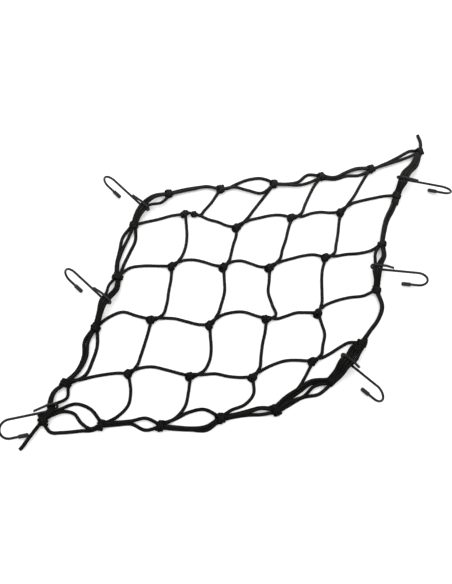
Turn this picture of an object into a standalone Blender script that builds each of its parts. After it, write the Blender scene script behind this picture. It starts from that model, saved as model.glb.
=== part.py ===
"""Elastic cargo net with six wire hooks, lying loosely on a flat surface.

Thirty-six wrapped knots tie elastic cord into five rows of five cells, about 77 mm a cell. The cells inside
have single strands. Round the edge two to four cords run side by side from knot to knot, and six of those
runs carry a wire hook: its closed bend grips the cords, its open bend goes round a rack tube, and a
moulded sleeve covers its tip. The net was put down loosely, so that its outline is a leaning square.

Frame: metres, +Z up, z = 0 is the surface, the origin is under the middle of the outline.
Tables are in millimetres from a datum, DATUM, that the middle of the outline is measured from.
"""
import math

import bmesh
import bpy
from mathutils import Vector

MM = 0.001

# Where the tables' datum lies from the middle of the outline
DATUM = (-17.8, -17.5)

# Elastic cord: heights of its middle line, and how side by side cords lie at a knot
CORD_D = 4.5
CORD_SIDES = 5
CORD_STEP = 15.0
FINE = 12
REST_HEIGHT = 3.0
UPPER_HEIGHT = 5.8
KNOT_RISE = 0.6
LANE = 2.0
LANE_LIFT = 0.9
TUCK = 2.8
PART_LANE = 1.5
PART_RISE = 0.8
TAIL_DROP = 0.6

# How a cord passes a hook: how far it runs straight on each side, how much it keeps to its knots' line there,
# its height half way to a knot as a share of both ends' heights, and how it leaves a knot that is close
PASS_RUN = 5.0
PASS_TURN = 0.25
PASS_HEIGHT = 0.45
CLOSE_HOOK = 20.0
TOP_LIFT = 6.0
ENTRY_LIFT = 1.5

# Knots: ring places along the knot and ring sizes, as shares of its half length and of its radius
KNOT_RINGS = ((-1.0, 0.60), (-0.66, 1.0), (-0.33, 0.83), (0.0, 1.04), (0.33, 0.83), (0.66, 1.0), (1.0, 0.60))
KNOT_SIDES = 6
INNER_KNOT = 5.7
EDGE_KNOT = 6.3

# A knot's half length and its middle's height as shares of its radius, how much of its underside is flat, the
# knots that are longer, and how far an inner knot lies back from the pair that leaves it
KNOT_LENGTH = 1.05
KNOT_HEIGHT = 0.88
KNOT_FLAT_SHARE = 0.85
LONG_KNOTS = {"U0": 1.25}
KNOT_SET_BACK = 1.5

# Wire hook
WIRE_D = 3.3
WIRE_SIDES = 8
HOOK_LENGTH = 77.0
JAW = 26.0
GRIP = 8.8
CORD_OFF = 4.2
LEG_END = 31.5
TIP_END = 41.0
BEND_STEPS = 9
CLOSED_STEPS = 6
FLOOR_GAP = 0.3

# Sleeve on a hook's tip
SLEEVE_D = 5.5
SLEEVE_LENGTH = 13.0
SLEEVE_WALL_GAP = 0.3
SLEEVE_DEPTH = 10.5
SLEEVE_SIDES = 10
SLEEVE_CHAMFER = 0.9
MOUTH_CHAMFER = 0.4

# Knot places, and for a knot whose right and upper strands leave it together, how far off they part
KNOTS = {
    # name: (x, y, part_x, part_y)
    "T0": (-85, 156, 0, 0), "T1": (-9, 164, 0, 0), "T2": (70, 173, 0, 0),
    "T3": (141, 186, 0, 0), "T4": (215, 199, 0, 0), "T5": (290.5, 229.5, 0, 0),
    "L1": (-134, 103, 0, 0), "A1": (-60, 122, 20, 1), "A2": (15, 100, 16, 14),
    "A3": (95, 116, 13, 5), "A4": (166, 125, 16, 17), "R1": (250, 153, 0, 0),
    "L2": (-153, 20, 0, 0), "B1": (-77, 37, 12, 11), "B2": (-4, 36, 9, 10),
    "B3": (61, 35, 15, 12), "B4": (141, 51, 12, 5), "R2": (222, 72, 0, 0),
    "L3": (-179, -57, 0, 0), "C1": (-103, -45, 14, 5), "C2": (-23, -53, 12, 15),
    "C3": (55, -44, 12, 3), "C4": (126, -35, 7, 12), "R3": (209, 0, 0, 0),
    "L4": (-213, -137, 19, 8), "D1": (-131, -123, 11, 9), "D2": (-48, -127, 16, 5),
    "D3": (35, -128, 10, 11), "D4": (116, -106, 12, 8), "R4": (183, -80, 0, 0),
    "U0": (-239, -187.5, 0, 0), "U1": (-163, -194, 0, 0), "U2": (-86, -195, 0, 0),
    "U3": (-9, -185, 0, 0), "U4": (64, -174, 0, 0), "U5": (137, -135, 0, 0),
}

# Single strands. The last three numbers are how far the strand bows to its left at its quarters
ROW_STRANDS = (
    # from, to, bow_1, bow_2, bow_3
    ("L1", "A1", 3, 3, 4), ("A1", "A2", -1, 0, -1), ("A2", "A3", 4, 7, 7), ("A3", "A4", 4, 5, 2.5),
    ("A4", "R1", 3, 4, 4.5),
    ("L2", "B1", 12, 11, 6.5), ("B1", "B2", 5, 4.5, 2), ("B2", "B3", 5, 3, 0.5), ("B3", "B4", 4, 7, 7.5),
    ("B4", "R2", -1, -4, -4),
    ("L3", "C1", 14, 19, 10), ("C1", "C2", 2.5, 1, -0.5), ("C2", "C3", 7.5, 9.5, 5.5),
    ("C3", "C4", 2.5, 5.5, 4), ("C4", "R3", 3, 2, -1.5),
    ("L4", "D1", 2.5, 3.5, 3.5), ("D1", "D2", 6, 5, 3), ("D2", "D3", 2.5, 0, -0.5), ("D3", "D4", 6, 8.5, 6),
    ("D4", "R4", 2.5, 6, 8),
)
COLUMN_STRANDS = (
    # from, to, bow_1, bow_2, bow_3
    ("A1", "T1", -1, -1.5, -0.5), ("A2", "T2", 0.5, 0.5, 0.5), ("A3", "T3", 1, 2.5, 3),
    ("A4", "T4", -0.5, 0.5, 1),
    ("B1", "A1", -5.5, -6, -3.5), ("B2", "A2", -0.5, -0.5, -1.5), ("B3", "A3", 0, -0.5, 0.5),
    ("B4", "A4", -1.5, -1.5, -0.5),
    ("C1", "B1", -3.5, -2.5, -2), ("C2", "B2", -3.5, -5.5, -3), ("C3", "B3", 2, 5.5, 2.5),
    ("C4", "B4", 0.5, 2.5, 3),
    ("D1", "C1", -1, -1, -0.5), ("D2", "C2", -7, -7, -3.5), ("D3", "C3", 0, 0.5, -0.5),
    ("D4", "C4", -4, -7.5, -4.5),
    ("D1", "U1", 13, 19, 13), ("D2", "U2", 8, 14, 11), ("D3", "U3", 14.5, 14, 4), ("D4", "U4", 3.5, 5.5, 1.5),
)

# Runs of cords along the edge. Each cord is a row of bows at equal shares of its way, from the run's left
# to its right
EDGE_RUNS = (
    # from, to, (bows of each cord)
    ("T0", "T1", ((6.5, 8.5, 8.5), (2.5, 5, 7))),
    ("T1", "T2", ((2, 6, 10, 13, 14.5, 14.5, 11), (1.5, -6.5, -13.5))),
    ("T2", "T3", ((-1, -1, 8.5), (-4, -8.5, -6.5))),
    ("T3", "T4", ((-3, 2.8, 7), (-4.5, 0.5, 4), (-6, -3.5, -5.5))),
    ("T4", "T5", ((1, 2, 2.5, 4, 5.5, 7.5, 8.5), (-1, -2, -2))),
    ("R1", "R2", ((1, -2, -1), (-2.5, -5, -4))),
    ("R3", "R4", ((14.5, 13.5, 6.5), (12.5, 12.5, 5.8))),
    ("U5", "U4", ((7, 1, 1.5), (-4.5, 1, -2), (-10.5, -8, -5.7), (-13, -11.5, -9.5))),
    ("U4", "U3", ((2, 0, 0), (-5.5, -2.5, -1.5), (-7.5, -5.5, -3.5))),
    ("U3", "U2", ((12.5, 9.5, 6), (8.5, 8, 4), (-16, -14.5, -7.5))),
    ("U2", "U1", ((5, -3, -1.5), (-10, -6, -4))),
    ("U1", "U0", ((7.5, 9, 11.5, 13.5, 14.5), (6, 0, -12.5, -14, -9), (-22, -26.5, -17.5))),
    ("L4", "L3", ((-4, -3, 6), (-7.5, -8, 0), (-17.5, -17, -13))),
    ("L2", "L1", ((8, 9.5, 11), (5.5, 5, 2), (-2.5, -5.5, -8))),
)

# Runs that pass through a hook's closed bend. A cord crosses the hook at its slot, in millimetres from the
# closed end, and bows to its left half way before and half way after it
HOOKED_RUNS = (
    # hook, from, to, ((before, slot, after) for each cord)
    ("hook_1", "L1", "T0", ((3, 14.4, 6), (2, 9.6, 5), (0.5, 4.8, -6))),
    ("hook_2", "L3", "L2", ((1, 14.4, 4), (0.5, 9.4, -4), (0, 4.6, -6))),
    ("hook_3", "U0", "L4", ((0, 11.4, 7), (0, 8.2, 6.2), (0, 4.8, -11))),
    ("hook_4", "T5", "R1", ((5, 14.4, 0), (3, 9.5, 0), (1.5, 4.6, -1))),
    ("hook_5", "R2", "R3", ((4.8, 14.6, 1), (4.4, 10, 0.5), (-4.5, 4.9, 0.5))),
    ("hook_6", "R4", "U5", ((1.8, 19, 3.2), (-0.4, 13.8, 3.4), (-2.4, 9, 1.5), (-4.4, 4.4, -0.5))),
)

# Hooks: closed end's place, and in degrees the way the shank points, how far it climbs to the open bend and
# how far the hook is rolled about its shank. Then the side of the shank that the leg lies on, how far along
# the leg starts to lean in, and how far off the shank its free end was left when it was bent shut
HOOKS = {
    # name: (x, y, heading, pitch, roll, leg_side, leg_lean, leg_gap)
    "hook_1": (-115, 126, 144, 26, 82, -1, 17, 4.4),
    "hook_2": (-161, -26, 140, 17, 73, -1, 17, 3.9),
    "hook_3": (-221, -173, 198.5, 17.5, 40, -1, 12, 4.2),
    "hook_4": (252, 176, -23, 15, 106, 1, 18, 6.0),
    "hook_5": (202, 27, -13, 13, 77, 1, 21.5, 5.5),
    "hook_6": (153, -104, -48, 15.5, 74, 1, 22.5, 7.2),
}

# The cord's two ends, which stick out of corner knots
TAILS = (
    # knot, (x, y, z) of places along the end
    ("T5", ((294, 241, 4), (294.5, 250, 3), (293, 257, 3), (291.5, 262, 3))),
    ("U0", ((-244, -194, 5), (-248, -201, 7), (-252, -208, 8.3), (-257, -215, 7.4), (-261.5, -221, 5),
            (-266, -226, 3.5))),
)


def new_material(name, colour, roughness, metallic):
    material = bpy.data.materials.new(name)
    material.use_nodes = True
    shader = material.node_tree.nodes["Principled BSDF"]
    shader.inputs["Base Color"].default_value = (*colour, 1.0)
    shader.inputs["Roughness"].default_value = roughness
    shader.inputs["Metallic"].default_value = metallic
    return material


def add_object(name, bm, material):
    """A finished mesh, scaled to metres and moved from the tables' datum to the part's own frame."""
    bmesh.ops.recalc_face_normals(bm, faces=bm.faces)
    for vertex in bm.verts:
        vertex.co = (vertex.co + Vector((*DATUM, 0))) * MM
    mesh = bpy.data.meshes.new(name)
    bm.to_mesh(mesh)
    bm.free()
    mesh.shade_smooth()
    mesh.set_sharp_from_angle(angle=math.radians(50))
    mesh.materials.append(material)
    part = bpy.data.objects.new(name, mesh)
    bpy.context.scene.collection.objects.link(part)
    return part


def smooth_curve(points):
    """Many points on a smooth curve through the given points, FINE of them from each point to the next."""
    count = len(points)
    spans = [(points[i + 1] - points[i]).length for i in range(count - 1)]
    slopes = [(points[1] - points[0]) / spans[0]]
    for i in range(1, count - 1):
        before = (points[i] - points[i - 1]) / spans[i - 1]
        after = (points[i + 1] - points[i]) / spans[i]
        slopes.append((before * spans[i] + after * spans[i - 1]) / (spans[i - 1] + spans[i]))
    slopes.append((points[-1] - points[-2]) / spans[-1])
    fine = []
    for i in range(count - 1):
        a, b = points[i], points[i + 1]
        leave, arrive = slopes[i] * spans[i], slopes[i + 1] * spans[i]
        for k in range(FINE):
            t = k / FINE
            fine.append(a * (2 * t**3 - 3 * t**2 + 1) + leave * (t**3 - 2 * t**2 + t)
                        + b * (3 * t**2 - 2 * t**3) + arrive * (t**3 - t**2))
    fine.append(points[-1])
    return fine


def evenly(fine, step):
    """Points about a step apart along a fine line, with both of its ends."""
    lengths = [0.0]
    for a, b in zip(fine, fine[1:]):
        lengths.append(lengths[-1] + (b - a).length)
    steps = max(1, round(lengths[-1] / step))
    even = [fine[0]]
    j = 0
    for i in range(1, steps):
        goal = lengths[-1] * i / steps
        while lengths[j + 1] < goal:
            j += 1
        even.append(fine[j].lerp(fine[j + 1], (goal - lengths[j]) / (lengths[j + 1] - lengths[j])))
    even.append(fine[-1])
    return even


def curve_through(points, step, kept=()):
    """Points about a step apart on a smooth curve. The points whose places are kept stay on it."""
    fine = smooth_curve(points)
    stops = [0, *(place * FINE for place in kept), len(fine) - 1]
    line = [fine[0]]
    for a, b in zip(stops, stops[1:]):
        line += evenly(fine[a:b + 1], step)[1:]
    return line


def sweep(bm, points, radius, sides, reference, phase):
    """A closed tube along points. Its rings are set out from the reference direction, turned by phase."""
    rings = []
    for i, point in enumerate(points):
        ahead = points[min(i + 1, len(points) - 1)]
        behind = points[max(i - 1, 0)]
        along = (ahead - behind).normalized()
        side = along.cross(reference).normalized()
        top = side.cross(along)
        ring = []
        for k in range(sides):
            angle = phase + 2 * math.pi * k / sides
            ring.append(bm.verts.new(point + (top * math.cos(angle) + side * math.sin(angle)) * radius))
        rings.append(ring)
    for lower, upper in zip(rings, rings[1:]):
        for k in range(sides):
            bm.faces.new((lower[k], lower[(k + 1) % sides], upper[(k + 1) % sides], upper[k]))
    bm.faces.new(rings[0])
    bm.faces.new(rings[-1])


def is_edge(name):
    return name[0] in "TULR"


def knot_centre(name):
    x, y, _, _ = KNOTS[name]
    radius = EDGE_KNOT if is_edge(name) else INNER_KNOT
    return Vector((x, y, radius * KNOT_HEIGHT))


def parting_point(name, towards):
    """Where the strand to the right or upwards leaves the pair that comes out of a knot, or None."""
    _, _, part_x, part_y = KNOTS[name]
    if part_x == 0:
        return None
    if name == "L4" and towards != "D1":
        return None
    if towards[0] == "U":
        return None
    centre = knot_centre(name)
    out = Vector((part_x, part_y, 0))
    across = Vector((-out.y, out.x, 0)).normalized()
    goes_up = KNOTS[towards][1] - KNOTS[name][1] > abs(KNOTS[towards][0] - KNOTS[name][0])
    place = centre + out + across * (PART_LANE if goes_up else -PART_LANE)
    place.z = REST_HEIGHT + PART_RISE
    return place


def tuck_point(centre, towards, lane, lift):
    """The end of a cord inside a knot, a little short of the knot's middle, in its own lane."""
    out = Vector((towards.x - centre.x, towards.y - centre.y, 0)).normalized()
    across = Vector((-out.y, out.x, 0))
    return centre + out * TUCK + across * lane + Vector((0, 0, lift))


def strand_path(start, end, bows, lane=0.0, height=REST_HEIGHT, lift=0.0):
    """Control points of a cord from knot to knot, with bows to its left at equal shares of the way."""
    first, last = knot_centre(start), knot_centre(end)
    parting = parting_point(start, end)
    base = parting if parting else first
    chord = Vector((last.x - base.x, last.y - base.y, 0))
    left = Vector((-chord.y, chord.x, 0)).normalized()
    points = []
    if parting:
        out = Vector((parting.x - first.x, parting.y - first.y, 0)).normalized()
        points = [first + out * TUCK, parting]
    stations = []
    for i, bow in enumerate(bows):
        share = (i + 1) / (len(bows) + 1)
        rise = 1 - abs(2 * share - 1)
        place = base + chord * share + left * bow
        place.z = REST_HEIGHT + (height - REST_HEIGHT) * rise + KNOT_RISE * (1 - rise)
        stations.append(place)
    if not parting:
        points = [tuck_point(first, stations[0], lane, lift)]
    points += stations
    points.append(tuck_point(last, stations[-1], -lane, lift))
    return points


class Hook:
    """The frame of one hook: its closed end, the way its shank points and the way its leg lies off it."""

    def __init__(self, name):
        x, y, heading, pitch, roll, leg_side, self.leg_lean, self.leg_gap = HOOKS[name]
        heading, pitch, roll = math.radians(heading), math.radians(pitch), math.radians(roll)
        run = math.cos(pitch)
        self.along = Vector((math.cos(heading) * run, math.sin(heading) * run, math.sin(pitch)))
        level = Vector((0, 0, 1)).cross(self.along).normalized()
        above = self.along.cross(level)
        self.leg_way = level * leg_side * math.cos(roll) + above * math.sin(roll)
        self.normal = self.along.cross(self.leg_way)
        self.origin = Vector((x, y, 0))
        sleeve_low = self.at(TIP_END, -JAW).z - SLEEVE_D / 2
        closed_low = self.at(0, GRIP / 2).z - WIRE_D / 2
        shank_low = self.at(GRIP / 2, 0).z - WIRE_D / 2
        self.origin.z = FLOOR_GAP - min(sleeve_low, closed_low, shank_low)

    def at(self, along, off):
        return self.origin + self.along * along + self.leg_way * off

    def wire_path(self):
        """From the leg's free end round the closed bend, along the shank and round the open bend."""
        points = [self.at(LEG_END, self.leg_gap), self.at(self.leg_lean, GRIP)]
        for i in range(CLOSED_STEPS + 1):
            angle = math.pi / 2 + math.pi * i / CLOSED_STEPS
            points.append(self.at((1 + math.cos(angle)) * GRIP / 2, (1 + math.sin(angle)) * GRIP / 2))
        half = JAW / 2
        bend = HOOK_LENGTH - half
        points.append(self.at(bend * 0.5, 0))
        for i in range(BEND_STEPS + 1):
            angle = math.pi / 2 - math.pi * i / BEND_STEPS
            points.append(self.at(bend + math.cos(angle) * half, -half + math.sin(angle) * half))
        points.append(self.at(TIP_END + SLEEVE_LENGTH - SLEEVE_DEPTH, -JAW))
        return points

    def sleeve_profile(self):
        """Distance along the shank and radius, from inside the bore to the rounded tip."""
        bore = WIRE_D / 2 + SLEEVE_WALL_GAP
        outer = SLEEVE_D / 2
        mouth = TIP_END + SLEEVE_LENGTH
        floor = mouth - SLEEVE_DEPTH - SLEEVE_WALL_GAP
        return ((floor, bore), (mouth, bore), (mouth, outer - MOUTH_CHAMFER), (mouth - MOUTH_CHAMFER, outer),
                (TIP_END + SLEEVE_CHAMFER, outer), (TIP_END, outer - SLEEVE_CHAMFER))


def hooked_path(hook, start, end, before, slot, after, lane, lift):
    """Control points of a cord that passes through a hook's closed bend, between its shank and its leg, and
    which of them lie just before and just after the hook. A hook close to the first knot is reached from the
    knot's top.
    """
    first, last = knot_centre(start), knot_centre(end)
    grip = hook.at(slot, CORD_OFF)
    chord = Vector((last.x - first.x, last.y - first.y, 0)).normalized()
    through = hook.normal if hook.normal.dot(chord) > 0 else -hook.normal
    through = (through * (1 - PASS_TURN) + chord * PASS_TURN).normalized()
    enters, leaves = grip - through * PASS_RUN, grip + through * PASS_RUN
    middles = []
    for a, b, bow in ((first, enters, before), (leaves, last, after)):
        run = Vector((b.x - a.x, b.y - a.y, 0))
        left = Vector((-run.y, run.x, 0)).normalized()
        middle = a.lerp(b, 0.5) + left * bow
        middle.z = max(REST_HEIGHT + abs(lift), (a.z + b.z) * PASS_HEIGHT)
        middles.append(middle)
    if (enters - first).to_2d().length < CLOSE_HOOK:
        enters.z += ENTRY_LIFT
        points = [tuck_point(first, enters, lane, TOP_LIFT)]
    else:
        points = [tuck_point(first, middles[0], lane, lift), middles[0]]
    gripped = (len(points), len(points) + 1)
    points += [enters, leaves, middles[1], tuck_point(last, middles[1], -lane, lift)]
    return points, gripped


def lanes(count):
    """Places of a run's cords at a knot, from left to right. Every second one is a little higher."""
    leftmost = (count - 1) / 2 * LANE
    return [(leftmost - k * LANE, LANE_LIFT if k % 2 else -LANE_LIFT) for k in range(count)]


def cord_layers():
    """All cords in layers. Rows, columns, hooked runs and a run's cords are apart, so no two in one touch."""
    layers = {}

    def put(group, index, path, kept=()):
        layers.setdefault((group, index), []).append(curve_through(path, CORD_STEP, kept))

    for start, end, *bows in ROW_STRANDS:
        put("row", 0, strand_path(start, end, bows))
    for start, end, *bows in COLUMN_STRANDS:
        put("column", 0, strand_path(start, end, bows))
    for start, end, cords in EDGE_RUNS:
        group = "row" if start[0] == end[0] and start[0] in "TU" else "column"
        for k, (bows, (lane, lift)) in enumerate(zip(cords, lanes(len(cords)))):
            height = UPPER_HEIGHT if k % 2 else REST_HEIGHT
            put(group, k, strand_path(start, end, bows, lane, height, lift))
    for name, start, end, cords in HOOKED_RUNS:
        hook = Hook(name)
        for k, ((before, slot, after), (lane, lift)) in enumerate(zip(cords, lanes(len(cords)))):
            path, gripped = hooked_path(hook, start, end, before, slot, after, lane, lift)
            put("hooked", k, path, gripped)
    for knot, places in TAILS:
        centre = knot_centre(knot)
        path = [tuck_point(centre, Vector(places[0]), 0, -TAIL_DROP)]
        path += [Vector(place) for place in places]
        put("tail", 0, path)
    return layers


def knot_heading(name):
    """Which way a knot's wraps are stacked: along the pair that leaves it, or along the edge it lies on."""
    x, y, part_x, part_y = KNOTS[name]
    if part_x and name != "L4":
        return math.atan2(part_y, part_x)
    side, place = name[0], int(name[1])
    before = KNOTS.get(f"{side}{place - 1}", KNOTS[name])
    after = KNOTS.get(f"{side}{place + 1}", KNOTS[name])
    return math.atan2(after[1] - before[1], after[0] - before[0])


def add_knot(bm, name):
    """A short ridged barrel on its side. What lies lowest is pressed flat on the surface."""
    radius = EDGE_KNOT if is_edge(name) else INNER_KNOT
    half_length = radius * KNOT_LENGTH * LONG_KNOTS.get(name, 1)
    centre = knot_centre(name)
    heading = knot_heading(name)
    along = Vector((math.cos(heading), math.sin(heading), 0))
    if not is_edge(name):
        centre -= along * KNOT_SET_BACK
    side = Vector((-along.y, along.x, 0))
    rings = []
    for place, size in KNOT_RINGS:
        ring = []
        for k in range(KNOT_SIDES):
            angle = math.pi / KNOT_SIDES + 2 * math.pi * k / KNOT_SIDES - math.pi / 2
            offset = side * math.cos(angle) + Vector((0, 0, math.sin(angle)))
            spot = centre + along * place * half_length + offset * radius * size
            under = math.sin(angle) < -KNOT_FLAT_SHARE and abs(place) < KNOT_FLAT_SHARE
            if under or spot.z < 0:
                spot.z = 0
            ring.append(bm.verts.new(spot))
        rings.append(ring)
    for lower, upper in zip(rings, rings[1:]):
        for k in range(KNOT_SIDES):
            bm.faces.new((lower[k], lower[(k + 1) % KNOT_SIDES], upper[(k + 1) % KNOT_SIDES], upper[k]))
    bm.faces.new(rings[0])
    bm.faces.new(rings[-1])


def build_net(material):
    """The knots, with every layer of cords united to them, as one solid."""
    bm = bmesh.new()
    for name in KNOTS:
        add_knot(bm, name)
    net = add_object("net", bm, material)
    for (group, index), paths in sorted(cord_layers().items()):
        bm = bmesh.new()
        for path in paths:
            sweep(bm, path, CORD_D / 2, CORD_SIDES, Vector((0, 0, 1)), 0.0)
        layer = add_object(f"cords_{group}_{index}", bm, material)
        layer.hide_render = True
        layer.display_type = "WIRE"
        unite = net.modifiers.new(layer.name, "BOOLEAN")
        unite.operation = "UNION"
        unite.solver = "EXACT"
        unite.use_self = True
        unite.object = layer
    return net


def build_hook(name, wire_material, sleeve_material):
    hook = Hook(name)
    bm = bmesh.new()
    sweep(bm, hook.wire_path(), WIRE_D / 2, WIRE_SIDES, hook.normal, math.pi / WIRE_SIDES)
    add_object(name, bm, wire_material)
    bm = bmesh.new()
    profile = hook.sleeve_profile()
    rings = []
    for along, radius in profile:
        ring = []
        for k in range(SLEEVE_SIDES):
            angle = 2 * math.pi * k / SLEEVE_SIDES
            offset = (hook.leg_way * math.cos(angle) + hook.normal * math.sin(angle)) * radius
            ring.append(bm.verts.new(hook.at(along, -JAW) + offset))
        rings.append(ring)
    for lower, upper in zip(rings, rings[1:]):
        for k in range(SLEEVE_SIDES):
            bm.faces.new((lower[k], lower[(k + 1) % SLEEVE_SIDES], upper[(k + 1) % SLEEVE_SIDES], upper[k]))
    bm.faces.new(rings[0])
    bm.faces.new(rings[-1])
    add_object(name.replace("hook", "sleeve"), bm, sleeve_material)


def main():
    for old in list(bpy.data.objects):
        bpy.data.objects.remove(old, do_unlink=True)
    cord = new_material("elastic_cord", (0.012, 0.012, 0.011), 0.75, 0.0)
    wire = new_material("coated_wire", (0.02, 0.02, 0.02), 0.35, 0.0)
    vinyl = new_material("vinyl_sleeve", (0.03, 0.03, 0.03), 0.5, 0.0)
    build_net(cord)
    for name in HOOKS:
        build_hook(name, wire, vinyl)


main()
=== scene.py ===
"""The looks of an elastic cargo net with six wire hooks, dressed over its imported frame.

Tables are in millimetres from a datum, and DATUM says where that lies. Finished meshes are in metres in the
frame's own axes, +Z up, with z = 0 as the surface that the net lies on.
"""
import math
import random

import bmesh
import bpy
from mathutils import Matrix, Vector

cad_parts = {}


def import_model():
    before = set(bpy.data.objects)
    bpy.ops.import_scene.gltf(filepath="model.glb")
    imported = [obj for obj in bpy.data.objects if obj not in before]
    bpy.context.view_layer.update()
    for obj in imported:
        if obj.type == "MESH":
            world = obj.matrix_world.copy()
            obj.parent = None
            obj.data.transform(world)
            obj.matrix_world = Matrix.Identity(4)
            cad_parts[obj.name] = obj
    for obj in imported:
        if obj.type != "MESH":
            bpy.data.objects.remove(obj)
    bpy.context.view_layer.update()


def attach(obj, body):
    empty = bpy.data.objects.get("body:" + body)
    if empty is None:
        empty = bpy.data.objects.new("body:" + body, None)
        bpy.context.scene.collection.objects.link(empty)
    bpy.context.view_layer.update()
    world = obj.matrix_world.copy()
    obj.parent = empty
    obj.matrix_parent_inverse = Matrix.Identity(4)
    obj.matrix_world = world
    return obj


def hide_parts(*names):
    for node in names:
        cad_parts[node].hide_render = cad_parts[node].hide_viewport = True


MM = 0.001

# Where the tables' datum lies from the middle of the outline
DATUM = (-17.8, -17.5)

# Elastic cord: slack inside the net, bunched along the edge, drawn thin where a hook pulls it, and with its
# braid spread at a cut end
CORD_D = 4.5
BUNCHED_D = 4.75
STRETCHED_D = {"hook_1": 4.4, "hook_2": 4.4, "hook_3": 4.4, "hook_5": 4.6}
CUT_END_D = 5.0
CORD_SIDES = 12
CORD_STEP = 2.4
CORD_SMOOTH_ANGLE = 60.0

# Points on a cord's curve from one control point to the next, before they are spaced evenly
FINE = 12

# How high the middle of a cord is: on the surface, and for every second cord of a run on its neighbours
REST_HEIGHT = 2.4
UPPER_HEIGHT = 5.8

# How cords enter a knot: this far apart, lower and higher by turns, and short of the knot's middle
LANE = 2.0
LANE_LIFT = 0.9
TUCK = 2.8
TAIL_DROP = 0.6

# How a cord passes a hook's closed bend: how much of its way is square to the hook, half the length of that
# straight part, and its height half way there and back as a share of both ends' heights added
PASS_SQUARE = 0.75
PASS_HALF = 5.0
PASS_HEIGHT = 0.45

# A hook nearer to the knot than this has its cords come down from the knot's top
CLOSE_HOOK = 20.0
TOP_LIFT = 6.0
ENTRY_LIFT = 1.5

# A pair of strands that leaves a knot together is twisted, and lies on the surface where it parts
PAIR_RADIUS = 1.9
PAIR_TURNS = 0.5
PAIR_STEPS = 5
PAIR_SETTLED = 0.6

# Knots: a cord wound round the strands, its ends tucked in, and a loop of it pulled slantwise across the top.
# A knot's middle is KNOT_HEIGHT of its radius high, and chance turns it by up to KNOT_TURN radians. The
# numbers of LONG_KNOTS and THICK_KNOTS are shares of the usual length and radius
INNER_KNOT = 6.3
EDGE_KNOT = 6.9
KNOT_SET_BACK = 1.5
KNOT_HEIGHT = 0.88
KNOT_TURN = 0.2
LONG_KNOTS = {"U0": 1.4, "R4": 1.4, "R1": 1.25}
THICK_KNOTS = {
    "U0": 1.15, "U1": 1.15, "U2": 1.15, "U3": 1.15, "U4": 1.25, "L2": 1.2, "L3": 1.1, "L4": 1.2, "R4": 1.1,
}
WRAP_TURNS = 2.3
WRAP_D = 4.3
WRAP_PITCH = 3.4
WRAP_STEPS = 16
WRAP_FLOOR = 0.15
WRAP_SLANT = 1.5
TUCKED_SHARE = 0.16
TUCKED_RADIUS = 0.25
CROSS_STEPS = 14
CROSS_REACH = 0.95
CROSS_WIDTH = 0.8
CROSS_RISE = 0.55
KNOT_SEED = 4

# Wire hook. Its closed bend holds the cords between shank and leg, and its open bend goes round a rack's tube
WIRE_D = 3.5
WIRE_SIDES = 16
HOOK_LENGTH = 77.0
JAW = 26.0
GRIP = 8.8
CORD_OFF = 4.2
LEG_END = 31.5
TIP_END = 41.0
BEND_STEPS = 20
CLOSED_STEPS = 14
HOOK_SMOOTH_ANGLE = 40.0
FLOOR_GAP = 0.3

# Sleeve on a hook's tip. Its end faces lie past END_SHARE of its length from its middle, and its dome is a
# bevel of DOME_SHARE of its diameter
SLEEVE_D = 5.5
SLEEVE_LENGTH = 13.0
SLEEVE_WALL_GAP = 0.3
SLEEVE_DEPTH = 10.5
SLEEVE_SIDES = 32
END_SHARE = 0.49
DOME_SHARE = 0.38
DOME_SEGMENTS = 6
DOME_PROFILE = 0.5

# One plait of the braid across, in millimetres. A real one is about 0.8 mm, drawn coarser so that it shows.
# WAVE_UNIT is how wide one band of a wave texture is at a scale of 1
PLAIT_WIDTH = 1.7
BRAID_ANGLE = 38.0
WAVE_UNIT = 0.31

# Patches of wear on the braid, about 22 mm each, and how much they count in its tone
WEAR_PER_METRE = 45.0
WEAR_SHARE = 0.5

# Painted shade and painted highlight: how much darker the braid is painted where it faces sideways, and how
# much lighter on its upper side, with the upward parts of its normal that these belong to
SIDE_PAINTED_SHADE = -0.45
TOP_PAINTED_HIGHLIGHT = 0.05
FACES_SIDEWAYS = 0.1
FACES_UP = 1.0

# Painted light: the braid is painted darker towards the near side of the net and lighter towards the far
# side, with how far in metres these lie from the middle
PAINTED_LIGHT_NEAR = -0.24
PAINTED_LIGHT_FAR = 0.21
PAINTED_LIGHT_REACH = 0.25

# Where on the scale of its tone the braid is darkest and lightest, and what colours it has there
BRAID_TONES = ((0.3, "040404"), (0.95, "3a3937"))

# Slight runs in the dipped skin, about 5.5 mm each
RUNS_PER_METRE = 180.0

# The moulded grain, about 1.1 mm each. A real one is finer than 0.5 mm, drawn coarser so that it shows
GRAINS_PER_METRE = 900.0

# Light: how bright the white room is, and the softboxes in it, in metres and watts
ROOM_BRIGHTNESS = 0.66
SOFTBOXES = (
    # name, place, width, power
    ("softbox_above", (0.0, -0.5, 3.0), 4.5, 110),
    ("softbox_behind", (0.2, 1.4, 1.3), 1.6, 5),
)
FLOOR_SIZE = 12.0

# Camera, in metres and degrees: what it looks at, how far off, and how tall half its view is at that distance
LOOK_AT = (-0.0186, -0.0180, 0.0)
CAMERA_DISTANCE = 1.2
CAMERA_ELEVATION = 65.0
HALF_VIEW = 0.4088

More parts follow.
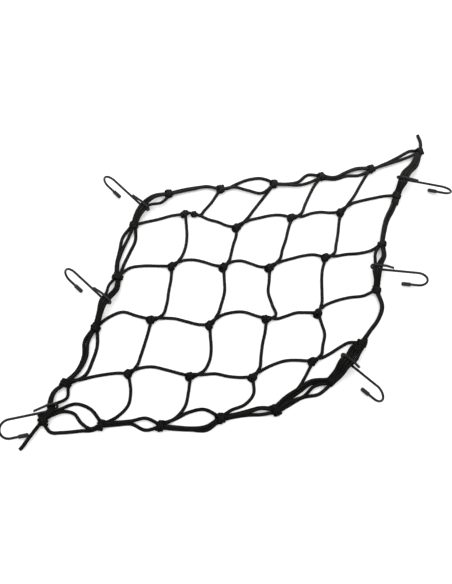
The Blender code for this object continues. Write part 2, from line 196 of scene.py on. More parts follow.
# Knot places, and for a knot whose right and upper strands leave it together, how far off they part
KNOTS = {
    # name: (x, y, part_x, part_y)
    "T0": (-85, 156, 0, 0), "T1": (-9, 164, 0, 0), "T2": (70, 173, 0, 0),
    "T3": (141, 186, 0, 0), "T4": (215, 199, 0, 0), "T5": (290.5, 229.5, 0, 0),
    "L1": (-134, 103, 0, 0), "A1": (-60, 122, 20, 1), "A2": (15, 100, 16, 14),
    "A3": (95, 116, 13, 5), "A4": (166, 125, 16, 17), "R1": (250, 153, 0, 0),
    "L2": (-153, 20, 0, 0), "B1": (-77, 37, 12, 11), "B2": (-4, 36, 9, 10),
    "B3": (61, 35, 15, 12), "B4": (141, 51, 12, 5), "R2": (222, 72, 0, 0),
    "L3": (-179, -57, 0, 0), "C1": (-103, -45, 14, 5), "C2": (-23, -53, 12, 15),
    "C3": (55, -44, 12, 3), "C4": (126, -35, 7, 12), "R3": (209, 0, 0, 0),
    "L4": (-213, -137, 19, 8), "D1": (-131, -123, 11, 9), "D2": (-48, -127, 16, 5),
    "D3": (35, -128, 10, 11), "D4": (116, -106, 12, 8), "R4": (183, -80, 0, 0),
    "U0": (-239, -187.5, 0, 0), "U1": (-163, -194, 0, 0), "U2": (-86, -195, 0, 0),
    "U3": (-9, -185, 0, 0), "U4": (64, -174, 0, 0), "U5": (137, -135, 0, 0),
}

# Single strands. The last three numbers are how far the strand bows to its left at its quarters
ROW_STRANDS = (
    # from, to, bow_1, bow_2, bow_3
    ("L1", "A1", 3, 3, 4), ("A1", "A2", -1, 0, -1), ("A2", "A3", 4, 7, 7), ("A3", "A4", 4, 5, 2.5),
    ("A4", "R1", 3, 4, 4.5),
    ("L2", "B1", 12, 11, 6.5), ("B1", "B2", 5, 4.5, 2), ("B2", "B3", 5, 3, 0.5), ("B3", "B4", 4, 7, 7.5),
    ("B4", "R2", -1, -4, -4),
    ("L3", "C1", 14, 19, 10), ("C1", "C2", 2.5, 1, -0.5), ("C2", "C3", 7.5, 9.5, 5.5),
    ("C3", "C4", 2.5, 5.5, 4), ("C4", "R3", 3, 2, -1.5),
    ("L4", "D1", 2.5, 3.5, 3.5), ("D1", "D2", 6, 5, 3), ("D2", "D3", 2.5, 0, -0.5), ("D3", "D4", 6, 8.5, 6),
    ("D4", "R4", 2.5, 6, 8),
)
COLUMN_STRANDS = (
    # from, to, bow_1, bow_2, bow_3
    ("A1", "T1", -1, -1.5, -0.5), ("A2", "T2", 0.5, 0.5, 0.5), ("A3", "T3", 1, 2.5, 3),
    ("A4", "T4", -0.5, 0.5, 1),
    ("B1", "A1", -5.5, -6, -3.5), ("B2", "A2", -0.5, -0.5, -1.5), ("B3", "A3", 0, -0.5, 0.5),
    ("B4", "A4", -1.5, -1.5, -0.5),
    ("C1", "B1", -3.5, -2.5, -2), ("C2", "B2", -3.5, -5.5, -3), ("C3", "B3", 2, 5.5, 2.5),
    ("C4", "B4", 0.5, 2.5, 3),
    ("D1", "C1", -1, -1, -0.5), ("D2", "C2", -7, -7, -3.5), ("D3", "C3", 0, 0.5, -0.5),
    ("D4", "C4", -4, -7.5, -4.5),
    ("D1", "U1", 13, 19, 13), ("D2", "U2", 8, 14, 11), ("D3", "U3", 14.5, 14, 4), ("D4", "U4", 3.5, 5.5, 1.5),
)

# Runs of cords along the edge. Each cord is a row of bows at equal shares of its way, from the run's left
# to its right
EDGE_RUNS = (
    # from, to, (bows of each cord)
    ("T0", "T1", ((6.5, 8.5, 8.5), (2.5, 5, 7))),
    ("T1", "T2", ((2, 6, 10, 13, 14.5, 14.5, 11), (1.5, -6.5, -13.5))),
    ("T2", "T3", ((-1, -1, 8.5), (-4, -8.5, -6.5))),
    ("T3", "T4", ((-3, 2.8, 7), (-4.5, 0.5, 4), (-6, -3.5, -5.5))),
    ("T4", "T5", ((1, 2, 2.5, 4, 5.5, 7.5, 8.5), (-1, -2, -2))),
    ("R1", "R2", ((1.5, -1.8, -1), (-2.8, -5.3, -4))),
    ("R3", "R4", ((14.5, 13.5, 6.5), (12.5, 12.5, 5.8))),
    ("U5", "U4", ((7, 1, 1.5), (-4.5, 1, -2), (-10.5, -8, -5.7), (-13, -11.5, -9.5))),
    ("U4", "U3", ((2, 0, 0), (-5.5, -2.5, -1.5), (-7.5, -5.5, -3.5))),
    ("U3", "U2", ((12.5, 9.5, 6), (8.5, 8, 4), (-16, -14.5, -7.5))),
    ("U2", "U1", ((5, -3, -1.5), (-10, -6, -4))),
    ("U1", "U0", ((7.5, 9, 11.5, 13.5, 14.5), (6, 0, -12.5, -14, -9), (-22, -26.5, -17.5))),
    ("L4", "L3", ((-4, -3, 6), (-7.5, -8, 0), (-17.5, -17, -13))),
    ("L2", "L1", ((8, 9.5, 11), (5.5, 5, 2), (-2.5, -5.5, -8))),
)

# Runs that pass through a hook's closed bend. A cord crosses the hook at its slot, in millimetres from the
# closed end, and bows to its left half way before and half way after it
HOOKED_RUNS = (
    # hook, from, to, ((before, slot, after) for each cord)
    ("hook_1", "L1", "T0", ((3, 12.6, 6), (2, 8.5, 5), (0.5, 4.4, -6))),
    ("hook_2", "L3", "L2", ((1, 12.6, 4), (0.5, 8.5, -4), (0, 4.4, -6))),
    ("hook_3", "U0", "L4", ((0, 11.4, 7), (0, 8.2, 6.2), (0, 4.8, -11))),
    ("hook_4", "T5", "R1", ((5, 14.4, 0), (3, 9.5, 0), (1.5, 4.6, -1))),
    ("hook_5", "R2", "R3", ((4.8, 13.6, 1), (4.4, 9, 0.5), (-4.5, 4.55, 0.5))),
    ("hook_6", "R4", "U5", ((1.8, 19, 3.2), (-0.4, 13.8, 3.4), (-2.4, 9, 1.5), (-4.4, 4.4, -0.5))),
)

# Hooks: closed end's place, and in degrees the way the shank points, how far it climbs to the open bend and
# how far the hook is rolled about its shank. Then the side of the shank that the leg lies on, how far along
# the leg starts to lean in, and how far off the shank its free end was left when it was bent shut
HOOKS = {
    # name: (x, y, heading, pitch, roll, leg_side, leg_lean, leg_gap)
    "hook_1": (-115, 126, 144, 26, 82, -1, 17, 4.4),
    "hook_2": (-161, -26, 140, 17, 73, -1, 17, 3.9),
    "hook_3": (-221, -173, 198.5, 17.5, 40, -1, 12, 4.2),
    "hook_4": (252, 176, -23, 15, 106, 1, 18, 6.0),
    "hook_5": (202, 27, -13, 13, 77, 1, 21.5, 5.5),
    "hook_6": (153, -104, -48, 15.5, 74, 1, 22.5, 7.2),
}

# Where the cords of a bunch are wrapped together again next to a knot
GATHERINGS = (
    # x, y, z of the middle, heading in degrees, radius, length as a share of a knot's
    (176.5, -88.5, 9.5, -130, 7.8, 1.1),
    (-47, 122.5, 4.6, 3, 5.0, 0.8),
    (247, 143, 5, -110, 5.8, 1.1),
)

# The cord's two ends, which stick out of corner knots
TAILS = (
    # knot, (x, y, z) of places along the end
    ("T5", ((294, 241, 4), (294.5, 250, 3), (293, 257, 3), (291.5, 262, 3))),
    ("U0", ((-244, -194, 5), (-248, -201, 7), (-252, -208, 8.3), (-257, -215, 7.4), (-261.5, -221, 5),
            (-266, -226, 3.5))),
)


def deselect_all():
    bpy.ops.object.select_all(action="DESELECT")


def in_metres(point):
    """A place in the tables' millimetres as a place in the frame."""
    return (point + Vector((*DATUM, 0))) * MM


# Colours and nodes


def linear_colour(text):
    """An sRGB hex colour as linear RGBA."""
    values = []
    for i in (0, 2, 4):
        value = int(text[i:i + 2], 16) / 255
        values.append(value / 12.92 if value <= 0.04045 else ((value + 0.055) / 1.055) ** 2.4)
    return (*values, 1.0)


def add_node(material, kind, settings=None, inputs=None, links=None):
    """A node with its settings, its inputs' values and links to its inputs, each (node, output name)."""
    node = material.node_tree.nodes.new(kind)
    for name, value in (settings or {}).items():
        setattr(node, name, value)
    for name, value in (inputs or {}).items():
        node.inputs[name].default_value = value
    for name, (source, output) in (links or {}).items():
        material.node_tree.links.new(source.outputs[output], node.inputs[name])
    return node


def new_material(name, finish):
    """A material and its shader, with the shader's inputs that finish gives."""
    material = bpy.data.materials.new(name)
    material.use_nodes = True
    shader = material.node_tree.nodes["Principled BSDF"]
    for socket, value in finish.items():
        shader.inputs[socket].default_value = value
    return material, shader


def braided_polyester():
    """Black polyester braid over a rubber core: matt, with diagonal plaits that catch the light in dots. Its
    sides have painted shade and its upper side a painted highlight, and painted light makes it darker
    towards the near side of the net and lighter towards the far side.
    """
    finish = {"Roughness": 0.85, "IOR": 1.4, "Specular IOR Level": 0.04}
    material, shader = new_material("braided_polyester", finish)
    along = add_node(material, "ShaderNodeUVMap", {"uv_map": "cord"})
    ways = []
    for turn in (BRAID_ANGLE, -BRAID_ANGLE):
        place = add_node(material, "ShaderNodeMapping", {}, {"Rotation": (0, 0, math.radians(turn))},
                         {"Vector": (along, "UV")})
        ways.append(add_node(material, "ShaderNodeTexWave", {"bands_direction": "X"},
                             {"Scale": WAVE_UNIT / (PLAIT_WIDTH * MM), "Distortion": 0.6, "Detail": 1.0},
                             {"Vector": (place, "Vector")}))
    plaits = add_node(material, "ShaderNodeMath", {"operation": "MULTIPLY"}, {},
                      {0: (ways[0], "Fac"), 1: (ways[1], "Fac")})
    where = add_node(material, "ShaderNodeTexCoord")
    worn = add_node(material, "ShaderNodeTexNoise", {}, {"Scale": WEAR_PER_METRE, "Detail": 3.0},
                    {"Vector": (where, "Object")})
    tone = add_node(material, "ShaderNodeMath", {"operation": "MULTIPLY_ADD"}, {1: WEAR_SHARE},
                    {0: (worn, "Fac"), 2: (plaits, "Value")})
    # Painted shade and painted highlight: darker where the normal faces sideways, lighter where it faces up
    facing = add_node(material, "ShaderNodeNewGeometry")
    upward = add_node(material, "ShaderNodeSeparateXYZ", {}, {}, {"Vector": (facing, "Normal")})
    painted_shade_and_highlight = add_node(material, "ShaderNodeMapRange", {},
                      {"From Min": FACES_SIDEWAYS, "From Max": FACES_UP,
                       "To Min": SIDE_PAINTED_SHADE, "To Max": TOP_PAINTED_HIGHLIGHT},
                      {"Value": (upward, "Z")})
    tone_with_painted_shade = add_node(material, "ShaderNodeMath", {"operation": "ADD"}, {},
                      {0: (tone, "Value"), 1: (painted_shade_and_highlight, "Result")})
    # Painted light: darker towards the near side of the net, lighter towards the far side
    spot = add_node(material, "ShaderNodeSeparateXYZ", {}, {}, {"Vector": (where, "Object")})
    painted_light_gradient = add_node(material, "ShaderNodeMapRange", {},
                     {"From Min": -PAINTED_LIGHT_REACH, "From Max": PAINTED_LIGHT_REACH,
                      "To Min": PAINTED_LIGHT_NEAR, "To Max": PAINTED_LIGHT_FAR},
                     {"Value": (spot, "Y")})
    total = add_node(material, "ShaderNodeMath", {"operation": "ADD"}, {},
                     {0: (tone_with_painted_shade, "Value"), 1: (painted_light_gradient, "Result")})
    ramp = add_node(material, "ShaderNodeValToRGB", {}, {}, {"Fac": (total, "Value")})
    for element, (position, colour) in zip(ramp.color_ramp.elements, BRAID_TONES):
        element.position = position
        element.color = linear_colour(colour)
    bump = add_node(material, "ShaderNodeBump", {}, {"Strength": 0.8, "Distance": 0.5 * MM},
                    {"Height": (plaits, "Value")})
    material.node_tree.links.new(ramp.outputs["Color"], shader.inputs["Base Color"])
    material.node_tree.links.new(bump.outputs["Normal"], shader.inputs["Normal"])
    return material


def add_speckle(material, shader, per_metre, strength, depth, colours):
    """Fine noise that bumps a surface by up to depth millimetres and tints it from one colour to another."""
    where = add_node(material, "ShaderNodeTexCoord")
    speckle = add_node(material, "ShaderNodeTexNoise", {}, {"Scale": per_metre, "Detail": 2.0},
                       {"Vector": (where, "Object")})
    bump = add_node(material, "ShaderNodeBump", {}, {"Strength": strength, "Distance": depth * MM},
                    {"Height": (speckle, "Fac")})
    ramp = add_node(material, "ShaderNodeValToRGB", {}, {}, {"Fac": (speckle, "Fac")})
    for element, colour in zip(ramp.color_ramp.elements, colours):
        element.color = linear_colour(colour)
    material.node_tree.links.new(ramp.outputs["Color"], shader.inputs["Base Color"])
    material.node_tree.links.new(bump.outputs["Normal"], shader.inputs["Normal"])


def dipped_wire():
    """Spring wire dipped in black vinyl: a smooth glossy skin with slight runs in it."""
    finish = {"Roughness": 0.3, "IOR": 1.5, "Specular IOR Level": 0.2}
    material, shader = new_material("dipped_wire", finish)
    add_speckle(material, shader, RUNS_PER_METRE, 0.15, 0.2, ("080808", "101010"))
    return material


def moulded_vinyl():
    """Soft black vinyl, moulded: satin, with a fine grain and dust that greys it a little."""
    finish = {"Roughness": 0.5, "IOR": 1.53, "Specular IOR Level": 0.22}
    material, shader = new_material("moulded_vinyl", finish)
    add_speckle(material, shader, GRAINS_PER_METRE, 0.3, 0.1, ("111111", "202020"))
    return material


def white_paper():
    """Matt white backdrop paper."""
    material, _ = new_material("white_paper", {"Base Color": linear_colour("fcfcfc"), "Roughness": 0.9})
    return material


# Cord routes


def smooth_curve(points):
    """Many points on a smooth curve through the given points, FINE of them from each point to the next."""
    count = len(points)
    spans = [(points[i + 1] - points[i]).length for i in range(count - 1)]
    slopes = [(points[1] - points[0]) / spans[0]]
    for i in range(1, count - 1):
        before = (points[i] - points[i - 1]) / spans[i - 1]
        after = (points[i + 1] - points[i]) / spans[i]
        slopes.append((before * spans[i] + after * spans[i - 1]) / (spans[i - 1] + spans[i]))
    slopes.append((points[-1] - points[-2]) / spans[-1])
    fine = []
    for i in range(count - 1):
        a, b = points[i], points[i + 1]
        leave, arrive = slopes[i] * spans[i], slopes[i + 1] * spans[i]
        for k in range(FINE):
            t = k / FINE
            fine.append(a * (2 * t**3 - 3 * t**2 + 1) + leave * (t**3 - 2 * t**2 + t)
                        + b * (3 * t**2 - 2 * t**3) + arrive * (t**3 - t**2))
    fine.append(points[-1])
    return fine


def evenly(fine, step):
    """Points about a step apart along a fine line, with both of its ends."""
    lengths = [0.0]
    for a, b in zip(fine, fine[1:]):
        lengths.append(lengths[-1] + (b - a).length)
    steps = max(1, round(lengths[-1] / step))
    even = [fine[0]]
    j = 0
    for i in range(1, steps):
        goal = lengths[-1] * i / steps
        while lengths[j + 1] < goal:
            j += 1
        even.append(fine[j].lerp(fine[j + 1], (goal - lengths[j]) / (lengths[j + 1] - lengths[j])))
    even.append(fine[-1])
    return even


def is_edge(name):
    return name[0] in "TULR"


def knot_radius(name):
    return EDGE_KNOT if is_edge(name) else INNER_KNOT


def knot_centre(name):
    x, y, _, _ = KNOTS[name]
    return Vector((x, y, knot_radius(name) * KNOT_HEIGHT))


def pair_points(name, towards):
    """A strand's points in the twisted pair that it leaves a knot in, up to where the pair parts. A strand to
    the near edge leaves alone and has none. At L4 only the strand to D1 has them.
    """
    _, _, part_x, part_y = KNOTS[name]
    alone = part_x == 0 or towards[0] == "U" or (name == "L4" and towards != "D1")
    if alone:
        return []
    centre = knot_centre(name)
    out = Vector((part_x, part_y, 0))
    across = Vector((-out.y, out.x, 0)).normalized()
    goes_up = KNOTS[towards][1] - KNOTS[name][1] > abs(KNOTS[towards][0] - KNOTS[name][0])
    last_angle = 0.0 if goes_up else math.pi
    points = []
    for i in range(1, PAIR_STEPS + 1):
        share = i / PAIR_STEPS
        angle = last_angle - 2 * math.pi * PAIR_TURNS * (1 - share)
        axis_height = centre.z * (1 - share) + (CORD_D / 2 + PAIR_RADIUS * PAIR_SETTLED) * share
        place = centre + out * share + across * math.cos(angle) * PAIR_RADIUS
        place.z = max(CORD_D / 2, axis_height + math.sin(angle) * PAIR_RADIUS)
        points.append(place)
    return points


def tuck_point(centre, towards, lane, lift):
    """The end of a cord inside a knot, a little short of the knot's middle, in its own lane."""
    out = Vector((towards.x - centre.x, towards.y - centre.y, 0)).normalized()
    across = Vector((-out.y, out.x, 0))
    return centre + out * TUCK + across * lane + Vector((0, 0, lift))


def strand_path(start, end, bows, lane=0.0, height=REST_HEIGHT, lift=0.0):
    """Control points of a cord from knot to knot, with bows to its left at equal shares of the way."""
    first, last = knot_centre(start), knot_centre(end)
    pair = pair_points(start, end)
    base = pair[-1] if pair else first
    chord = Vector((last.x - base.x, last.y - base.y, 0))
    left = Vector((-chord.y, chord.x, 0)).normalized()
    stations = []
    for i, bow in enumerate(bows):
        place = base + chord * (i + 1) / (len(bows) + 1) + left * bow
        stations.append(Vector((place.x, place.y, height)))
    points = pair or [tuck_point(first, stations[0], lane, lift)]
    points += stations
    points.append(tuck_point(last, stations[-1], -lane, lift))
    return points


def lanes(count):
    """How far left of its knot's middle each cord of a run is tucked in, and how far above it."""
    return [((count - 1) / 2 * LANE - k * LANE, LANE_LIFT if k % 2 else -LANE_LIFT) for k in range(count)]


class Hook:
    """The frame of one hook: its closed end, the way its shank points and the way its leg lies off it."""

    def __init__(self, name):
        x, y, heading, pitch, roll, leg_side, self.leg_lean, self.leg_gap = HOOKS[name]
        heading, pitch, roll = math.radians(heading), math.radians(pitch), math.radians(roll)
        run = math.cos(pitch)
        self.along = Vector((math.cos(heading) * run, math.sin(heading) * run, math.sin(pitch)))
        level = Vector((0, 0, 1)).cross(self.along).normalized()
        above = self.along.cross(level)
        self.leg_way = level * leg_side * math.cos(roll) + above * math.sin(roll)
        self.normal = self.along.cross(self.leg_way)
        self.origin = Vector((x, y, 0))
        sleeve_low = self.at(TIP_END, -JAW).z - SLEEVE_D / 2
        closed_low = self.at(0, GRIP / 2).z - WIRE_D / 2
        shank_low = self.at(GRIP / 2, 0).z - WIRE_D / 2
        self.origin.z = FLOOR_GAP - min(sleeve_low, closed_low, shank_low)

    def at(self, along, off):
        """The place so far along the shank, and off it towards the leg."""
        return self.origin + self.along * along + self.leg_way * off

    def matrix(self):
        """From the hook's own millimetres, x along the shank and y towards the leg, to the frame's metres."""
        turn = Matrix((self.along, self.leg_way, self.normal)).transposed().to_4x4()
        return Matrix.Translation(in_metres(self.origin)) @ turn @ Matrix.Scale(MM, 4)


def hooked_path(hook, start, end, before, slot, after, lane, lift):
    """Control points of a cord that passes through a hook's closed bend, between its shank and its leg. Where
    the hook is close to the first knot, the cord comes from the knot's top.
    """
    first, last = knot_centre(start), knot_centre(end)
    grip = hook.at(slot, CORD_OFF)
    chord = Vector((last.x - first.x, last.y - first.y, 0)).normalized()
    through = hook.normal if hook.normal.dot(chord) > 0 else -hook.normal
    through = (through * PASS_SQUARE + chord * (1 - PASS_SQUARE)).normalized()
    enters, leaves = grip - through * PASS_HALF, grip + through * PASS_HALF
    middles = []
    for a, b, bow in ((first, enters, before), (leaves, last, after)):
        run = Vector((b.x - a.x, b.y - a.y, 0))
        left = Vector((-run.y, run.x, 0)).normalized()
        middle = a.lerp(b, 0.5) + left * bow
        middle.z = max(REST_HEIGHT + abs(lift), a.z * PASS_HEIGHT + b.z * PASS_HEIGHT)
        middles.append(middle)
    if (enters - first).to_2d().length < CLOSE_HOOK:
        enters.z += ENTRY_LIFT
        points = [tuck_point(first, enters, lane, TOP_LIFT)]
    else:
        points = [tuck_point(first, middles[0], lane, lift), middles[0]]
    points += [enters, leaves, middles[1], tuck_point(last, middles[1], -lane, lift)]
    return points


def all_cord_paths():
    """Every cord's control points and diameter."""
    paths = []
    for start, end, *bows in ROW_STRANDS + COLUMN_STRANDS:
        paths.append((strand_path(start, end, bows), CORD_D))
    for start, end, cords in EDGE_RUNS:
        for k, (bows, (lane, lift)) in enumerate(zip(cords, lanes(len(cords)))):
            height = UPPER_HEIGHT if k % 2 else REST_HEIGHT
            paths.append((strand_path(start, end, bows, lane, height, lift), BUNCHED_D))
    for name, start, end, cords in HOOKED_RUNS:
        hook = Hook(name)
        diameter = STRETCHED_D.get(name, BUNCHED_D)
        for (before, slot, after), (lane, lift) in zip(cords, lanes(len(cords))):
            paths.append((hooked_path(hook, start, end, before, slot, after, lane, lift), diameter))
    for knot, places in TAILS:
        centre = knot_centre(knot)
        places = [Vector(place) for place in places]
        paths.append(([tuck_point(centre, places[0], 0, -TAIL_DROP), *places], CUT_END_D))
    return paths


# Cord meshes


def sweep(bm, points, radius, sides):
    """A closed round tube along points, whose UV map "cord" runs along and round it in metres."""
    uv_layer = bm.loops.layers.uv["cord"]
    along = (points[1] - points[0]).normalized()
    side = along.orthogonal().normalized()
    rings, lengths = [], [0.0]
    for i, point in enumerate(points):
        ahead = points[min(i + 1, len(points) - 1)]
        behind = points[max(i - 1, 0)]
        along = (ahead - behind).normalized()
        side = (side - along * side.dot(along)).normalized()
        top = along.cross(side)
        ring = []
        for k in range(sides):
            angle = 2 * math.pi * k / sides
            ring.append(bm.verts.new(point + (side * math.cos(angle) + top * math.sin(angle)) * radius))
        rings.append(ring)
        if i:
            lengths.append(lengths[-1] + (point - points[i - 1]).length)
    around = 2 * math.pi * radius / sides
    for i in range(len(rings) - 1):
        for k in range(sides):
            after = (k + 1) % sides
            face = bm.faces.new((rings[i][k], rings[i][after], rings[i + 1][after], rings[i + 1][k]))
            corners = ((i, k), (i, k + 1), (i + 1, k + 1), (i + 1, k))
            for loop, (ring_index, side_index) in zip(face.loops, corners):
                loop[uv_layer].uv = (lengths[ring_index] * MM, side_index * around * MM)
    bm.faces.new(rings[0])
    bm.faces.new(rings[-1])


def cord_mesh():
    """An empty mesh with the UV map that every cord has."""
    bm = bmesh.new()
    bm.loops.layers.uv.new("cord")
    return bm


def finish_cords(name, bm, material):
    """A mesh of cords as an object in the frame's metres, riding on the net's body."""
    bmesh.ops.recalc_face_normals(bm, faces=bm.faces)
    for vertex in bm.verts:
        vertex.co = in_metres(vertex.co)
    mesh = bpy.data.meshes.new(name)
    bm.to_mesh(mesh)
    bm.free()
    mesh.shade_smooth()
    mesh.set_sharp_from_angle(angle=math.radians(CORD_SMOOTH_ANGLE))
    mesh.materials.append(material)
    piece = bpy.data.objects.new(name, mesh)
    bpy.context.scene.collection.objects.link(piece)
    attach(piece, "root")
    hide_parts("net")


def knot_heading(name):
    """Which way a knot's wraps are stacked: along the pair that leaves it, or along the edge it lies on."""
    _, _, part_x, part_y = KNOTS[name]
    if part_x and name != "L4":
        return math.atan2(part_y, part_x)
    side, place = name[0], int(name[1])
    before = KNOTS.get(f"{side}{place - 1}", KNOTS[name])
    after = KNOTS.get(f"{side}{place + 1}", KNOTS[name])
    return math.atan2(after[1] - before[1], after[0] - before[0])


def add_knot(bm, name, chance):
    """One of the net's knots. An inner one is set back a little from where its pair leaves it."""
    centre = knot_centre(name)
    heading = knot_heading(name) + chance.uniform(-KNOT_TURN, KNOT_TURN)
    if not is_edge(name):
        centre -= Vector((math.cos(heading), math.sin(heading), 0)) * KNOT_SET_BACK
    radius = knot_radius(name) * THICK_KNOTS.get(name, 1)
    add_wraps(bm, centre, heading, radius, LONG_KNOTS.get(name, 1), chance)


def add_wraps(bm, centre, heading, radius, length, chance):
    """Slanting turns of cord wound round the strands, with tucked ends, and a loop that crosses over them."""
    along = Vector((math.cos(heading), math.sin(heading), 0))
    side = Vector((-along.y, along.x, 0))
    winding = radius - WRAP_D / 2
    hand = chance.choice((-1, 1))
    first_angle = chance.uniform(0, 2 * math.pi)

    def place(along_by, side_by, height):
        """A point of the cord, kept off the surface."""
        spot = centre + along * along_by + side * side_by
        spot.z = max(WRAP_D / 2 + WRAP_FLOOR, centre.z + height)
        return spot

    turns = WRAP_TURNS * length
    steps = round(turns * WRAP_STEPS)
    points = []
    for i in range(steps + 1):
        share = i / steps
        angle = hand * 2 * math.pi * turns * share + first_angle
        tucked = min(1, TUCKED_RADIUS + min(share, 1 - share) / TUCKED_SHARE)
        reach = winding * tucked
        along_by = (share - 0.5) * turns * WRAP_PITCH + WRAP_SLANT * math.sin(angle) * tucked
        points.append(place(along_by, math.cos(angle) * reach, math.sin(angle) * reach))
    sweep(bm, points, WRAP_D / 2, CORD_SIDES)
    points = []
    for i in range(CROSS_STEPS + 1):
        share = i / CROSS_STEPS
        angle = math.pi * (1 - share)
        along_by = (share - 0.5) * hand * winding * CROSS_REACH * 2 * length
        side_by = math.cos(angle) * winding * CROSS_WIDTH
        points.append(place(along_by, side_by, math.sin(angle) * (winding + CROSS_RISE)))
    sweep(bm, points, WRAP_D / 2, CORD_SIDES)


def build_net(material):
    """The strands as one piece and the knots, with the gatherings, as another."""
    bm = cord_mesh()
    for path, diameter in all_cord_paths():
        sweep(bm, evenly(smooth_curve(path), CORD_STEP), diameter / 2, CORD_SIDES)
    finish_cords("net_strands", bm, material)
    bm = cord_mesh()
    chance = random.Random(KNOT_SEED)
    for name in KNOTS:
        add_knot(bm, name, chance)
    for *middle, heading, radius, length in GATHERINGS:
        add_wraps(bm, Vector(middle), math.radians(heading), radius, length, chance)
    finish_cords("net_knots", bm, material)


# Hooks


def in_edit_mode(select_mode="VERT"):
    bpy.ops.object.mode_set(mode="EDIT")
    bpy.ops.mesh.select_mode(type=select_mode)


def extrude_to(start, end):
    """Draws the selected ring on from one place in the hook's plane to another."""
    step = Vector((*end, 0)) - Vector((*start, 0))
    bpy.ops.mesh.extrude_region_move(TRANSFORM_OT_translate={"value": step})


def close_ends():
    """Fills both open ends of the tube that is being edited."""
    bpy.ops.mesh.select_all(action="DESELECT")
    bpy.ops.mesh.select_non_manifold()
    bpy.ops.mesh.edge_face_add()


def place_piece(piece, matrix, name, node, material):
    """Moves a piece made at the origin in millimetres to its place in the frame, to stand for its node."""
    piece.matrix_world = matrix
    bpy.ops.object.transform_apply(location=True, rotation=True, scale=True)
    bpy.ops.object.shade_smooth_by_angle(angle=math.radians(HOOK_SMOOTH_ANGLE))
    piece.name = name
    piece.data.name = name
    piece.data.materials.clear()
    piece.data.materials.append(material)
    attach(piece, "root")
    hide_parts(node)
    piece.select_set(False)


def model_wire(hook):
    """One wire, drawn from the leg's free end round both bends to the tip, in the hook's own millimetres."""
    deselect_all()
    leg_end = (LEG_END, hook.leg_gap)
    lean = (hook.leg_lean, GRIP)
    bpy.ops.mesh.primitive_circle_add(vertices=WIRE_SIDES, radius=WIRE_D / 2, fill_type="NOTHING",
                                      location=(*leg_end, 0), rotation=(0, math.pi / 2, 0))
    wire = bpy.context.object
    bpy.ops.object.transform_apply(location=True, rotation=True, scale=True)
    in_edit_mode()
    bpy.ops.mesh.select_all(action="SELECT")
    extrude_to(leg_end, lean)
    extrude_to(lean, (GRIP / 2, GRIP))
    bpy.ops.mesh.spin(steps=CLOSED_STEPS, angle=-math.pi, center=(GRIP / 2, GRIP / 2, 0), axis=(0, 0, 1))
    bend = HOOK_LENGTH - JAW / 2
    extrude_to((GRIP / 2, 0), (bend, 0))
    bpy.ops.mesh.spin(steps=BEND_STEPS, angle=math.pi, center=(bend, -JAW / 2, 0), axis=(0, 0, 1))
    extrude_to((bend, -JAW), (TIP_END + SLEEVE_LENGTH - SLEEVE_DEPTH, -JAW))
    close_ends()
    bpy.ops.mesh.select_all(action="SELECT")
    bpy.ops.mesh.normals_make_consistent(inside=False)
    bpy.ops.object.mode_set(mode="OBJECT")
    return wire


def select_end(piece, middle, side):
    """Selects a sleeve's end face on one side of its middle, 1 for its mouth or -1 for its tip."""
    bpy.ops.mesh.select_all(action="DESELECT")
    bm = bmesh.from_edit_mesh(piece.data)
    for face in bm.faces:
        face.select_set((face.calc_center_median().x - middle) * side > SLEEVE_LENGTH * END_SHARE)
    bmesh.update_edit_mesh(piece.data)


def model_sleeve():
    """A sleeve with a domed tip and an open mouth that the wire goes into, in the hook's own millimetres."""
    deselect_all()
    middle = TIP_END + SLEEVE_LENGTH / 2
    bpy.ops.mesh.primitive_cylinder_add(vertices=SLEEVE_SIDES, radius=SLEEVE_D / 2, depth=SLEEVE_LENGTH,
                                        location=(middle, -JAW, 0), rotation=(0, math.pi / 2, 0))
    sleeve = bpy.context.object
    bpy.ops.object.transform_apply(location=True, rotation=True, scale=True)
    in_edit_mode("FACE")
    select_end(sleeve, middle, 1)
    bpy.ops.mesh.inset(thickness=SLEEVE_D / 2 - WIRE_D / 2 - SLEEVE_WALL_GAP)
    bpy.ops.mesh.extrude_region_move(TRANSFORM_OT_translate={"value": (-SLEEVE_DEPTH, 0, 0)})
    select_end(sleeve, middle, -1)
    bpy.ops.mesh.bevel(offset=SLEEVE_D * DOME_SHARE, segments=DOME_SEGMENTS, profile=DOME_PROFILE)
    bpy.ops.object.mode_set(mode="OBJECT")
    return sleeve


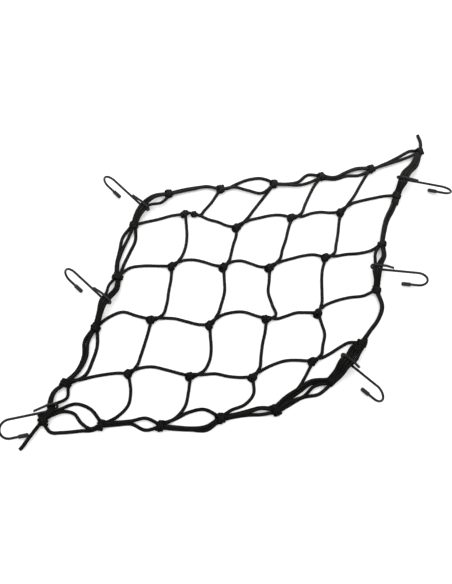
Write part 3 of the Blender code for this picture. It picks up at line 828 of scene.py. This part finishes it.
def build_hook(name, wire_material, vinyl):
    hook = Hook(name)
    place_piece(model_wire(hook), hook.matrix(), f"{name}_wire", name, wire_material)
    sleeve_node = name.replace("hook", "sleeve")
    place_piece(model_sleeve(), hook.matrix(), f"{sleeve_node}_vinyl", sleeve_node, vinyl)


# Camera, light and floor


def set_up_camera():
    camera = bpy.data.cameras.new("camera")
    camera.sensor_fit = "VERTICAL"
    camera.angle_y = 2 * math.atan(HALF_VIEW / CAMERA_DISTANCE)
    holder = bpy.data.objects.new("camera", camera)
    tilt = math.radians(90 - CAMERA_ELEVATION)
    holder.rotation_euler = (tilt, 0, 0)
    holder.location = Vector(LOOK_AT) + Vector((0, -math.sin(tilt), math.cos(tilt))) * CAMERA_DISTANCE
    bpy.context.scene.collection.objects.link(holder)
    bpy.context.scene.camera = holder


def add_softbox(name, place, width, power):
    """A round softbox that points at the middle of the frame."""
    light = bpy.data.lights.new(name, "AREA")
    light.shape = "DISK"
    light.size = width
    light.energy = power
    lamp = bpy.data.objects.new(name, light)
    lamp.location = place
    lamp.rotation_euler = (-Vector(place)).to_track_quat("-Z", "Y").to_euler()
    bpy.context.scene.collection.objects.link(lamp)


def light_scene():
    bpy.context.scene.view_settings.view_transform = "Standard"
    world = bpy.data.worlds.new("studio")
    world.use_nodes = True
    world.node_tree.nodes["Background"].inputs["Color"].default_value = (1, 1, 1, 1)
    world.node_tree.nodes["Background"].inputs["Strength"].default_value = ROOM_BRIGHTNESS
    bpy.context.scene.world = world
    for name, place, width, power in SOFTBOXES:
        add_softbox(name, place, width, power)


def lay_floor(material):
    deselect_all()
    bpy.ops.mesh.primitive_plane_add(size=FLOOR_SIZE, location=(0, 0, 0))
    floor = bpy.context.object
    floor.name = "floor"
    floor.data.materials.append(material)
    floor.select_set(False)


def main():
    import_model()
    set_up_camera()
    light_scene()
    lay_floor(white_paper())
    build_net(braided_polyester())
    wire, vinyl = dipped_wire(), moulded_vinyl()
    for name in HOOKS:
        build_hook(name, wire, vinyl)


main()
